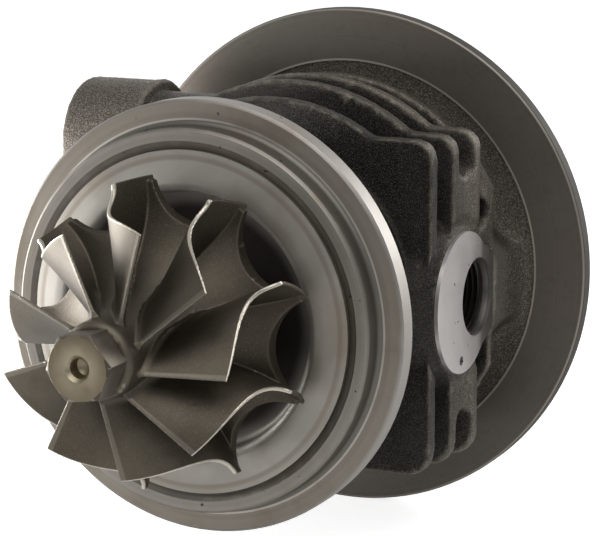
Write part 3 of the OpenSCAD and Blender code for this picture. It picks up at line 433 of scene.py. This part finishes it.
# Painted highlight: thin bright rings on the edge of the step and just inside the outer rim.
step_highlight = radius.band(53.55 * MM, 53.7 * MM) * (1 - radius.band(54.1 * MM, 54.35 * MM))
rim_edge_highlight = radius.band(67.0 * MM, 67.2 * MM) * (1 - radius.band(67.5 * MM, 67.65 * MM))
tone = (step_highlight + rim_edge_highlight * 0.6).clamped().blend(tone, (0.42, 0.38, 0.33))
# Painted shade: the disc's outer side is darkened.
shaded_rim = radius.band(67.6 * MM, 67.7 * MM)
tone = shaded_rim.blend(tone, (0.07, 0.065, 0.058))
relief = (cut_lines * 0.6 + mottle).bump(0.008 * MM, 0.5)
feed(Base_Color=tone, Roughness=0.44 + stain * 0.16 + shaded_rim * 0.1, Normal=relief)

milled_pad, place, feed = finish("milled_drain_face", 0.85, 0.36)
haze = place.noise(130, 3)
pits = place.noise(520, 1).band(0.72, 0.77)
tone = haze.blend((0.56, 0.525, 0.515), (0.7, 0.665, 0.65))
tone = (pits * 0.9).blend(tone, (0.02, 0.018, 0.018))
# Towards the saddle, the face fades to dull grey: partly the unmachined cast side, partly painted shade.
cast_side_and_shade = (place.along("Y") + haze * (3 * MM)).band(65.5 * MM, 70.5 * MM)
tone = cast_side_and_shade.blend(tone, (0.16, 0.15, 0.137))
relief = (haze - pits * 2).bump(0.03 * MM, 0.5)
feed(Base_Color=tone, Roughness=0.32 + haze * 0.12 + cast_side_and_shade * 0.2, Normal=relief)

bored_iron, place, feed = finish("bored_iron", 0.9, 0.4)
streak = place.noise(300, 2)
# Painted shade: more than a few millimetres in from the drain face, the bores turn nearly black; only the
# mouth keeps the light, streaked metal.
lit_mouth = place.along("X").band(pad_x - 4 * MM, pad_x - 1 * MM)
tone = lit_mouth.blend((0.03, 0.027, 0.024), streak.blend((0.26, 0.245, 0.22), (0.42, 0.4, 0.365)))
feed(Base_Color=tone, Roughness=0.3 + streak * 0.2)

for material in (turned_iron, turned_disc, milled_pad, bored_iron):
    machined.data.materials.append(material)
for face in machined.data.polygons:
    p = face.center
    from_axis = math.hypot(p.x, p.z)
    if p.y > disc_from and from_axis > disc_bore_r:
        face.material_index = 1
    elif on_pad(p):
        face.material_index = 2
    elif p.y < flange_back and from_axis > spigot_bore_r:
        face.material_index = 0
    else:
        face.material_index = 3
for piece in (casting, machined):
    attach(piece, "housing")
    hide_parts("bearing_housing")


# Heat shield. Pressed from heat-resisting sheet, with a raised rim and a dished floor; its edge
# drops on to the ledge inside the spigot and the turbine housing clamps it there.
def smooth_copy(node, name, body, material, degrees=25):
    piece = merged_copy(node, name)
    smooth(piece, degrees)
    piece.data.materials.append(material)
    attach(piece, body)
    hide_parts(node)
    return piece


satin_sheet, place, feed = finish("satin_sheet", 1.0, 0.38)
radius = place.round_axis()
spin_marks = radius.rings(900, 3)
cloud = place.noise(60, 3)
tone = cloud.band(0.3, 0.7).blend((0.345, 0.326, 0.292), (0.435, 0.412, 0.373))
tint = place.noise(34, 4, 0.6).band(0.48, 0.7)
tone = (tint * 0.45).blend(tone, (0.27, 0.222, 0.168))
# Painted shade: the dish darkens to near black towards the middle, deep behind the wheel where the blades
# shade it.
recess_shade = 1 - (radius + cloud * MM).band(27.2 * MM, 33 * MM)
tone = recess_shade.blend(tone, (0.04, 0.034, 0.029))
# A darker brown band lies near the outer edge of the raised rim.
outer_dark_band = radius.band(39.2 * MM, 39.9 * MM) * (1 - radius.band(40.3 * MM, 41.2 * MM) * 0.8)
tone = (outer_dark_band * 0.55).blend(tone, (0.22, 0.18, 0.14))
feed(Base_Color=tone, Roughness=0.44 + cloud * 0.16 + recess_shade * 0.1, Normal=spin_marks.bump(0.01 * MM, 0.5))
smooth_copy("heat_shield", "shield_dish", "housing", satin_sheet)

# Turbine wheel. One nickel-alloy casting: nine blades on a hub with a scalloped back disc, ground
# on the blade edges, with a hexagonal nose. The neck behind it is friction-welded to the shaft.
blades = 9
blade_back, blade_out = -13.9 * MM, -43.4 * MM
inlet_r, inlet_end_y, outlet_r = 37.2 * MM, -24.3 * MM, 29.5 * MM
rim_r, rim_front, hub_r, hub_exit = 36.0 * MM, -15.8 * MM, 9.3 * MM, -47.4 * MM
root_r, blade_phase = 7.3 * MM, 97.6
inlet_share, inlet_taper = 0.3, 0.2 * MM
scallop_r, scallop_at, scallop_y, scallop_depth = 13 * MM, 40 * MM, -30 * MM, 40 * MM


def spun(name, profile, steps):
    deselect()
    bpy.ops.mesh.primitive_plane_add(size=MM)
    piece = bpy.context.object
    piece.name = piece.data.name = name
    bpy.ops.object.mode_set(mode="EDIT")
    bpy.ops.mesh.select_mode(type="VERT")
    bpy.ops.mesh.merge(type="CENTER")
    last = Vector((0, 0, 0))
    for number, (r, y) in enumerate(profile):
        step = Vector((r, y, 0)) - last
        if number:
            bpy.ops.mesh.extrude_region_move(TRANSFORM_OT_translate={"value": step})
        else:
            bpy.ops.transform.translate(value=step)
        last += step
    bpy.ops.mesh.select_all(action="SELECT")
    bpy.ops.mesh.spin(steps=steps, angle=2 * math.pi, center=(0, 0, 0), axis=(0, 1, 0))
    bpy.ops.mesh.select_all(action="SELECT")
    bpy.ops.mesh.remove_doubles(threshold=1e-6)
    bpy.ops.mesh.normals_make_consistent(inside=False)
    bpy.ops.object.mode_set(mode="OBJECT")
    return piece


def cut_with(piece, cutter, operation):
    modify(piece, "BOOLEAN", object=cutter, operation=operation, solver="EXACT")
    bpy.data.objects.remove(cutter)


def hub_line(a):
    r = hub_r + (rim_r - hub_r) * (1 - math.sin(a))
    return r, rim_front + (hub_exit - rim_front) * (1 - math.cos(a))


hub_curve = [hub_line(math.pi / 2 * i / 48) for i in range(49)]
hub = spun("turbine_casting", [
    (0, -3.2 * MM), (9 * MM, -3.2 * MM), (9.3 * MM, -5 * MM), (11.2 * MM, -11 * MM), (12.6 * MM, -12.9 * MM),
    (14.5 * MM, -13.5 * MM), (rim_r - 0.3 * MM, -13.5 * MM), (rim_r, -13.8 * MM), *hub_curve,
    (9.2 * MM, -49.6 * MM), (8.9 * MM, -50.3 * MM), (8.1 * MM, -51 * MM), (0, -51 * MM),
], 216)
deselect()
for k in range(blades):
    a = math.radians(blade_phase + 360 / blades * (k + 0.5))
    bpy.ops.mesh.primitive_cylinder_add(
        vertices=128, radius=scallop_r, depth=scallop_depth, rotation=(math.pi / 2, 0, 0),
        location=(scallop_at * math.cos(a), scallop_y, scallop_at * math.sin(a)),
    )
    cut_with(hub, bpy.context.object, "DIFFERENCE")


def blade_turn(u):
    return math.radians(blade_phase + 36.5 * u - 26.7 * u * u - 33.5 * u ** 3)


def blade_edge(s):
    if s < inlet_share:
        y = blade_back + (inlet_end_y - blade_back) * s / inlet_share
        return inlet_r - inlet_taper * s / inlet_share, y
    a = math.pi / 2 * (1 - (s - inlet_share) / (1 - inlet_share))
    return (outlet_r + (inlet_r - inlet_taper - outlet_r) * (1 - math.cos(a)),
            blade_out + (inlet_end_y - blade_out) * math.sin(a))


def blade_point(s, t):
    r, y = blade_edge(s)
    u = (blade_back - y) / (blade_back - blade_out)
    v = u * (hub_exit - blade_back) / (blade_out - blade_back)
    root_y = blade_back + v * (blade_out - blade_back)
    root = Vector((root_r * math.cos(blade_turn(v)), root_y, root_r * math.sin(blade_turn(v))))
    tip = Vector((r * math.cos(blade_turn(u)), y, r * math.sin(blade_turn(u))))
    return root.lerp(tip, t)


def over_hub(p):
    r = math.hypot(p.x, p.z)
    near = min(hub_curve, key=lambda q: (q[0] - r) ** 2 + (q[1] - p.y) ** 2)
    away = math.hypot(near[0] - r, near[1] - p.y)
    return away if r - near[0] + near[1] - p.y > 0 else -away


def blade_start(s):
    start = 0.0
    while start < 0.86 and over_hub(blade_point(s, start)) < -0.9 * MM:
        start += 0.02
    return start


rows, columns, wheel_voxel = 44, 26, 0.23 * MM
deselect()
bpy.ops.mesh.primitive_grid_add(x_subdivisions=rows, y_subdivisions=columns, size=2)
blade = bpy.context.object
starts = [blade_start(i / rows) for i in range(rows + 1)]
fillet, tip_half, root_half = 1.8 * MM, 0.46 * MM, 0.95 * MM
widest = root_half + fillet
thick = blade.vertex_groups.new(name="thick")
for vertex in blade.data.vertices:
    s, w = (vertex.co.x + 1) / 2, (vertex.co.y + 1) / 2
    first = starts[round(s * rows)]
    t = first + (1 - first) * w ** 1.3
    p = blade_point(s, t)
    d = abs(over_hub(p))
    half = tip_half + (root_half - tip_half) * (1 - t)
    half *= 1 - 0.5 * min(max((s - 0.8) / 0.2, 0.0), 1.0)
    if d < fillet:
        flare = fillet - math.sqrt(fillet ** 2 - (fillet - d) ** 2)
        half += flare * min(max((s - 0.3) / 0.25, 0.0), 1.0)
    vertex.co = p
    thick.add([vertex.index], half / widest, "REPLACE")
modify(blade, "SOLIDIFY", thickness=2 * widest, offset=0, vertex_group="thick", use_rim=True,
       use_even_offset=False)
activate(blade)
bpy.ops.object.mode_set(mode="EDIT")
bpy.ops.mesh.select_all(action="SELECT")
bpy.ops.mesh.normals_make_consistent(inside=False)
bpy.ops.object.mode_set(mode="OBJECT")
row = [blade]
for k in range(1, blades):
    other = blade.copy()
    other.data = blade.data.copy()
    other.data.transform(Matrix.Rotation(-k * 2 * math.pi / blades, 4, "Y"))
    bpy.context.scene.collection.objects.link(other)
    row.append(other)
activate(hub)
for piece in row:
    piece.select_set(True)
bpy.ops.object.join()
modify(hub, "REMESH", mode="VOXEL", voxel_size=wheel_voxel)
modify(hub, "SMOOTH", factor=0.5, iterations=5)
modify(hub, "DECIMATE", ratio=0.17)

deselect()
nose_flats, nose_length, nose_y, nose_turn = 14.7 * MM, 9 * MM, -54.1 * MM, math.radians(7.4)
nose_face, drill_r = -58.6 * MM, 2.3 * MM
bpy.ops.mesh.primitive_cylinder_add(
    vertices=6, radius=nose_flats / 2 / math.cos(math.pi / 6), depth=nose_length, location=(0, nose_y, 0),
    rotation=(math.pi / 2, 0, 0),
)
nose = bpy.context.object
bpy.ops.object.transform_apply(location=True, rotation=True, scale=True)
lean = max(nose.data.vertices, key=lambda v: v.co.x).co
nose.data.transform(Matrix.Rotation(-nose_turn + math.atan2(lean.z, lean.x), 4, "Y"))
cut_with(nose, spun("nose_turning", [
    (0, nose_face), (7.3 * MM, nose_face), (8.9 * MM, -57.7 * MM), (9.4 * MM, -57 * MM), (9.4 * MM, -49 * MM),
    (0, -49 * MM),
], 96), "INTERSECT")
cut_with(nose, spun("centre_drill", [
    (0, -60 * MM), (4.6 * MM, -60 * MM), (drill_r, -57.7 * MM), (drill_r, -54.6 * MM), (0, -53.4 * MM),
], 64), "DIFFERENCE")
modify(nose, "BEVEL", width=0.22 * MM, segments=2, limit_method="ANGLE", angle_limit=math.radians(25))

smoky_alloy, place, feed = finish("smoky_alloy", 1.0, 0.36)
cloud = place.noise(45, 3, 0.6)
fine = place.noise(3000, 2)
edge_highlight = edges(place, 0.52, 0.6)
radius, depth = place.round_axis(), place.along("Y")
shroud_far = (inlet_r - inlet_taper - radius) / (inlet_r - inlet_taper - outlet_r)
shroud_along = (depth - blade_out) / (inlet_end_y - blade_out)
shroud = 1 - (shroud_far * shroud_far + shroud_along * shroud_along).band(1.05, 1.1)
exit_lift = depth - blade_out + (outlet_r - radius) * ((blade_out - hub_exit) / (outlet_r - root_r))
leaving = (1 - exit_lift.band(0.3 * MM, 0.5 * MM)) * radius.band(10.5 * MM, 11 * MM)
# The ground shroud and exit edges are real bright metal; the lightening of the other convex edges is painted
# highlight.
ground = (shroud + leaving * 0.15 + edge_highlight * 0.25).clamped()
tone = cloud.band(0.3, 0.7).blend((0.09, 0.077, 0.059), (0.147, 0.127, 0.099))
tone = (depth.band(-32 * MM, -17 * MM) * 0.5).blend(tone, (0.055, 0.046, 0.035))
tone = (fine.band(0.5, 0.75) * 0.25).blend(tone, (0.28, 0.245, 0.19))
tone = ground.blend(tone, (0.62, 0.57, 0.49))
feed(Base_Color=tone, Roughness=0.46 + cloud * 0.12 - ground * 0.16, Normal=fine.bump(0.05 * MM, 0.7))

tinted_nose, place, feed = finish("tinted_nose", 1.0, 0.34)
lines = place.round_axis().rings(1500, 3)
haze = place.noise(160, 3)
worn = place.round_axis().band(2.5 * MM, 8 * MM)
tone = worn.blend((0.4, 0.35, 0.25), (0.225, 0.186, 0.13))
tone = (haze.band(0.42, 0.7) * 0.5).blend(tone, (0.2, 0.163, 0.112))
feed(Base_Color=tone, Roughness=0.34 + haze * 0.16, Normal=lines.bump(0.01 * MM, 0.5))

for piece in (hub, nose):
    piece.data.materials.clear()
    for material in (smoky_alloy, tinted_nose):
        piece.data.materials.append(material)
for face in nose.data.polygons:
    p = face.center
    drilled = math.hypot(p.x, p.z) < 3.4 * MM and p.y < -53 * MM
    face.material_index = 1 if p.y < nose_face + 0.1 * MM or drilled else 0
activate(hub)
nose.select_set(True)
bpy.ops.object.join()
smooth(hub, 32)
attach(hub, "rotor")
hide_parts("turbine_wheel")

# The hidden bearing pieces keep their solids: bronze floating bushes and thrust plate, ground steel
# runners on the shaft, blackened spring rings, turned plates and a rubber sealing ring.
bronze, place, feed = finish("bearing_bronze", 1.0, 0.3)
lines = (place.round_axis() + place.along("Y")).rings(1600, 3)
feed(Base_Color=lines.blend((0.48, 0.31, 0.15), (0.64, 0.44, 0.24)), Roughness=0.24 + lines * 0.14)

ground_steel, place, feed = finish("ground_steel", 1.0, 0.22)
lines = place.along("Y").rings(4000, 2)
feed(Base_Color=lines.blend((0.5, 0.5, 0.5), (0.62, 0.62, 0.63)), Roughness=0.16 + lines * 0.14)

sprung, place, feed = finish("blackened_spring", 0.9, 0.4)
cloud = place.noise(400, 2)
feed(Base_Color=cloud.blend((0.06, 0.06, 0.065), (0.12, 0.12, 0.13)), Roughness=0.34 + cloud * 0.14)

plate, place, feed = finish("turned_plate", 1.0, 0.32)
lines = place.round_axis().rings(1200, 3)
feed(Base_Color=lines.blend((0.3, 0.3, 0.3), (0.42, 0.42, 0.42)), Roughness=0.26 + lines * 0.16)

rubber, place, feed = finish("ring_rubber", 0.0, 0.6)
cloud = place.noise(500, 2)
feed(Base_Color=cloud.blend((0.012, 0.012, 0.012), (0.028, 0.027, 0.026)), Roughness=0.5 + cloud * 0.2)

for material, names in (
    (bronze, ("turbine_bush", "compressor_bush", "thrust_bearing")),
    (ground_steel, ("rotor_shaft", "thrust_washer", "thrust_collar", "flinger_sleeve", "lock_nut")),
    (sprung, ("turbine_seal_ring", "turbine_bush_circlips", "compressor_bush_circlips", "thrust_screws",
              "thrust_pins", "compressor_seal_ring", "seal_plate_snap_ring")),
    (plate, ("oil_deflector", "seal_plate")),
    (rubber, ("seal_plate_o_ring",)),
):
    for name in names:
        nodes[name].data.materials.clear()
        nodes[name].data.materials.append(material)

# Compressor wheel. Cast aluminium with full and splitter blades, clamped on the shaft's stub by the
# lock nut; it hides behind the disc in the photograph.
pale_alloy, place, feed = finish("cast_aluminium", 1.0, 0.34)
cloud = place.noise(50, 3)
fine = place.noise(1100, 2)
tone = cloud.band(0.3, 0.7).blend((0.5, 0.505, 0.51), (0.64, 0.645, 0.65))
feed(Base_Color=tone, Roughness=0.28 + cloud * 0.14, Normal=fine.bump(0.015 * MM, 0.5))
smooth_copy("compressor_wheel", "compressor_casting", "rotor", pale_alloy, 35)

# Studio: pale floor under the lowest point, white surroundings, two large soft lamps and a small one
# at the left that gives the blades there their bright reflections.
floor_z, floor_size, floor_glow = cad_box[0].z, 6, 0.72
deselect()
bpy.ops.mesh.primitive_plane_add(size=floor_size, location=(0, 0, floor_z))
floor = bpy.context.object
floor.name = "floor"
paper, place, feed = finish("pale_paper", 0.0, 0.9)
fibre = place.noise(40, 2)
looked_at = place.node("ShaderNodeLightPath", {}, out="Is Camera Ray")
mirrored = place.node("ShaderNodeLightPath", {}, out="Is Glossy Ray")
# Painted light: seen in reflections, the floor glows, more strongly to the left, where no lamp stands.
left_reflection_glow = (place.along("Y") * 0.5 - place.along("X")).band(0.08, 0.3)
glow = (looked_at + mirrored * (left_reflection_glow * 0.62 + 0.04)).clamped().blend((0, 0, 0), (1, 1, 1))
feed(Base_Color=fibre.blend((0.7, 0.7, 0.7), (0.74, 0.74, 0.74)), Emission_Color=glow)
paper.node_tree.nodes["Principled BSDF"].inputs["Emission Strength"].default_value = floor_glow
floor.data.materials.append(paper)

world = bpy.data.worlds.new("studio")
bpy.context.scene.world = world
world.use_nodes = True
sky = world.node_tree.nodes["Background"]
rays = world.node_tree.nodes.new("ShaderNodeLightPath")
away = Shade(world.node_tree, world.node_tree.nodes.new("ShaderNodeTexCoord").outputs["Generated"])
sweep = (away.along("Y") - away.along("X") * 0.6).band(-0.3, 0.7)
overhead = away.along("Z").band(0.2, 0.75)
room = sweep * (1 - overhead * 0.65) * 0.75 + 0.25
camera_ray, glossy_ray, clear_ray = (
    Shade(world.node_tree, rays.outputs[kind])
    for kind in ("Is Camera Ray", "Is Glossy Ray", "Is Transmission Ray")
)
white = (camera_ray + clear_ray).clamped()
strength = white + (1 - white) * (glossy_ray * room + (1 - glossy_ray) * 0.45)
sky.inputs["Color"].default_value = (1, 1, 1, 1)
world.node_tree.links.new(strength.socket, sky.inputs["Strength"])


def lamp(name, place, aim, size, power):
    data = bpy.data.lights.new(name, "AREA")
    data.shape, data.size, data.energy = "SQUARE", size, power
    lit = bpy.data.objects.new(name, data)
    lit.location = place
    lit.visible_camera = False
    lit.rotation_mode = "QUATERNION"
    lit.rotation_quaternion = (Vector(aim) - Vector(place)).to_track_quat("-Z", "Y")
    bpy.context.scene.collection.objects.link(lit)


lamp("key_lamp", (0.2, -0.5, 0.82), (0, 0, 0), 1.0, 6)
lamp("side_lamp", (0.6, 0.75, 0.35), (0, 0.04, 0), 0.5, 4)
lamp("low_lamp", (-0.17, -0.02, 0.0), (0, -0.03, 0.01), 0.09, 0.33)

# Camera at the photograph's place, fitted on the flange, disc and fins: its direction, the way it is
# turned, its distance, and how far the picture's middle lies from the origin.
to_camera = Vector((0.4193, -0.8873, 0.1923)).normalized()
across = Vector((0.9041, 0.4272, 0.0)).normalized()
up = to_camera.cross(across)
camera = bpy.data.objects.new("camera", bpy.data.cameras.new("camera"))
camera.data.lens = 149.14
camera.data.sensor_width = 36
turn = Matrix((across, up, to_camera)).transposed().to_4x4()
distance, middle_across, middle_up = 0.6, 0.02413, 0.01217
spot = to_camera * distance + across * middle_across + up * middle_up
camera.matrix_world = Matrix.Translation(spot) @ turn
camera.data.clip_start, camera.data.clip_end = 0.01, 20
bpy.context.scene.collection.objects.link(camera)
bpy.context.scene.camera = camera
bpy.context.scene.view_settings.view_transform = "Standard"
